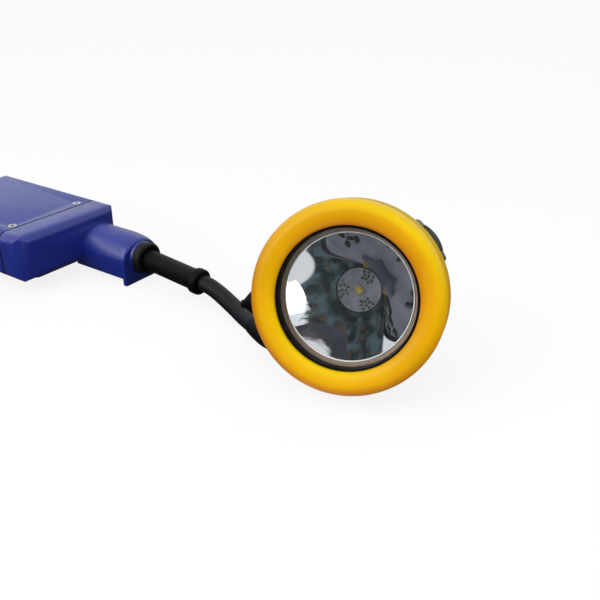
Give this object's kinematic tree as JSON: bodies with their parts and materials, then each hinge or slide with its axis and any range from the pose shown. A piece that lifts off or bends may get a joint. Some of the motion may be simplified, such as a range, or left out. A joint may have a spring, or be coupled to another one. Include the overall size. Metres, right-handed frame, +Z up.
{
  "type": "miner's cap lamp",
  "caption": "Miner's cap lamp: a round headpiece with a screw bezel, reflector and rotary switch, on a short cable from a belt-worn battery pack.",
  "frame": {"origin": "centre of the belt bracket's underside, on the surface that the lamp lies on", "axes": "+Z up; +X along the battery pack, from its closed end to its cable end; the headpiece lies past the cable end with its beam towards -Y, turned towards +X and tipped up"},
  "size_m": [0.3113, 0.0811, 0.0786],
  "materials": {
    "yellow_abs": "satin moulded plastic",
    "steel": "plated",
    "black_rubber": "matt moulded rubber",
    "clear_lens": "clear polycarbonate",
    "mirror_coating": "vacuum metallised",
    "led_board_white": "solder mask on aluminium core",
    "led_phosphor": "yellow phosphor under clear silicone",
    "board_parts": "moulded component bodies",
    "aluminium": "machined",
    "nylon": "natural nylon",
    "green_board": "green solder mask",
    "black_abs": "fine moulded texture",
    "grey_metal": "turned",
    "olive_plastic": "moulded",
    "brass": "bare brass",
    "wafer_laminate": "laminate",
    "dark_steel": "blackened",
    "black_cable": "smooth cable jacket",
    "blue_abs": "satin moulded plastic",
    "cell_wrap": "shrink sleeve",
    "nylon_black": "moulded nylon"
  },
  "bodies": {
    "lamp": {"bezel_ring": "yellow_abs", "bezel_lock_screw": "steel", "lens_gasket": "black_rubber", "lens": "clear_lens", "reflector": "mirror_coating", "led_board": "led_board_white", "main_led": "led_phosphor", "led_board_parts": "board_parts", "heat_sink": "aluminium", "heat_sink_screws": "steel", "driver_spacers": "nylon", "driver_board": "green_board", "driver_parts": "board_parts", "driver_screws": "steel", "shell_o_ring": "black_rubber", "rear_shell": "black_abs", "switch_collar": "grey_metal", "switch_wafer": "wafer_laminate", "post_base": "black_abs", "charging_pin": "dark_steel", "pin_nut": "brass", "cap_hook": "black_abs", "hook_screws": "steel", "gland_nut": "black_abs", "cable_tail": "black_cable", "lamp_boot": "black_rubber", "cable": "black_cable", "pack_sleeve": "black_rubber", "outlet_nut": "black_abs", "pack_head": "blue_abs", "pack_case": "blue_abs", "case_gasket": "black_rubber", "case_screws": "steel", "cells": "cell_wrap", "cell_frames": "nylon_black", "nickel_strips": "steel", "protection_board": "green_board", "protection_parts": "board_parts", "belt_bracket": "black_abs", "bracket_screws": "steel"},
    "switch": {"switch_knob": "olive_plastic", "switch_shaft": "steel", "shaft_o_ring": "black_rubber", "shaft_clip": "steel", "switch_wiper": "brass"}
  },
  "joints": [
    {"name": "switch_turn", "type": "hinge", "parent": "lamp", "child": "switch", "pos_m": [0.24093, 0.02999, 0.05683], "axis": [-0.6398, -0.4489, -0.6239], "range_deg": [0, 90]}
  ]
}
